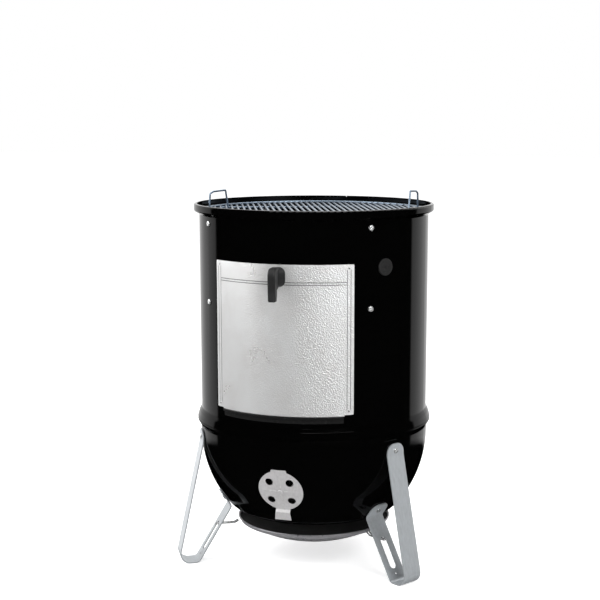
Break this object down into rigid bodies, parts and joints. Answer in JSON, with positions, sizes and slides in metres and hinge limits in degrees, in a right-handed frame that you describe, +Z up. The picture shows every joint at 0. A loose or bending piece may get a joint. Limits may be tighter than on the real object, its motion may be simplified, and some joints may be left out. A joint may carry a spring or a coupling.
{
  "type": "vertical water smoker",
  "caption": "Bullet-shaped charcoal water smoker on bent-bar legs: bowl with dampers, cylindrical centre section with lift-off door, grates and water pan, shown without its lid.",
  "frame": {"origin": "on the drum's vertical axis, at floor level, the centre of the circle through the three feet", "axes": "+Z up, the door faces -Y, +X to the right of a person facing the door from the front"},
  "size_m": [0.623, 0.6683, 0.917],
  "materials": {
    "black_enamel": "gloss porcelain enamel",
    "leg_aluminium": "satin rolled",
    "shield_aluminium": "bright rolled",
    "door_aluminium": "stippled satin",
    "damper_aluminium": "satin",
    "zinc_fasteners": "zinc plated",
    "black_rubber": "matt silicone",
    "black_nylon": "moulded satin",
    "black_steel": "satin black",
    "grate_steel": "bright plated",
    "fuel_steel": "plain rolled",
    "strap_steel": "plated strip"
  },
  "bodies": {
    "base": {"bowl": "black_enamel", "leg_left": "leg_aluminium", "leg_right": "leg_aluminium", "leg_rear": "leg_aluminium", "leg_bolts": "zinc_fasteners", "leg_nuts": "zinc_fasteners", "heat_shield": "shield_aluminium", "shield_clips": "zinc_fasteners", "fuel_grate_tabs": "strap_steel", "damper_rivets": "damper_aluminium"},
    "damper_front": {"damper_front": "damper_aluminium"},
    "damper_left": {"damper_left": "damper_aluminium"},
    "damper_right": {"damper_right": "damper_aluminium"},
    "fuel_grate": {"fuel_grate": "fuel_steel"},
    "fuel_ring": {"fuel_ring": "fuel_steel"},
    "centre_section": {"centre_section": "black_enamel", "grate_strap_1": "strap_steel", "grate_strap_2": "strap_steel", "grate_strap_3": "strap_steel", "grate_strap_4": "strap_steel", "strap_bolts": "zinc_fasteners", "strap_nuts": "zinc_fasteners", "probe_grommet": "black_rubber", "door_sill": "black_steel", "sill_rivets": "black_steel"},
    "door": {"door_panel": "door_aluminium", "door_rivets": "zinc_fasteners"},
    "latch": {"latch_lever": "black_nylon", "latch_spindle": "zinc_fasteners", "latch_pawl": "zinc_fasteners", "latch_nut": "zinc_fasteners"},
    "upper_grate": {"upper_grate": "grate_steel", "upper_grate_handles": "grate_steel"},
    "lower_grate": {"lower_grate": "grate_steel", "lower_grate_handles": "grate_steel"},
    "water_pan": {"water_pan": "black_enamel"}
  },
  "joints": [
    {"name": "centre_section_lift", "type": "slide", "parent": "base", "child": "centre_section", "axis": [0, 0, 1], "range_m": [0, 0.3]},
    {"name": "upper_grate_lift", "type": "slide", "parent": "centre_section", "child": "upper_grate", "axis": [0, 0, 1], "range_m": [0, 0.12]},
    {"name": "lower_grate_lift", "type": "slide", "parent": "centre_section", "child": "lower_grate", "axis": [0, 0, 1], "range_m": [0, 0.1]},
    {"name": "water_pan_lift", "type": "slide", "parent": "centre_section", "child": "water_pan", "axis": [0, 0, 1], "range_m": [0, 0.04]},
    {"name": "fuel_grate_lift", "type": "slide", "parent": "base", "child": "fuel_grate", "axis": [0, 0, 1], "range_m": [0, 0.07]},
    {"name": "fuel_ring_lift", "type": "slide", "parent": "fuel_grate", "child": "fuel_ring", "axis": [0, 0, 1], "range_m": [0, 0.07]},
    {"name": "door_tilt", "type": "hinge", "parent": "centre_section", "child": "door", "pos_m": [0, -0.2825, 0.4138], "axis": [1, 0, 0], "range_deg": [0, 80]},
    {"name": "latch_turn", "type": "hinge", "parent": "door", "child": "latch", "pos_m": [0, -0.2824, 0.735], "axis": [0, -1, 0], "range_deg": [0, 90]},
    {"name": "damper_front_turn", "type": "hinge", "parent": "base", "child": "damper_front", "pos_m": [0, -0.26344, 0.22954], "axis": [0, -0.9375, -0.3479], "range_deg": [-45, 45]},
    {"name": "damper_right_turn", "type": "hinge", "parent": "base", "child": "damper_right", "pos_m": [0.22815, 0.13172, 0.22954], "axis": [0.8119, 0.4688, -0.3479], "range_deg": [-45, 45]},
    {"name": "damper_left_turn", "type": "hinge", "parent": "base", "child": "damper_left", "pos_m": [-0.22815, 0.13172, 0.22954], "axis": [-0.8119, 0.4688, -0.3479], "range_deg": [-45, 45]}
  ]
}
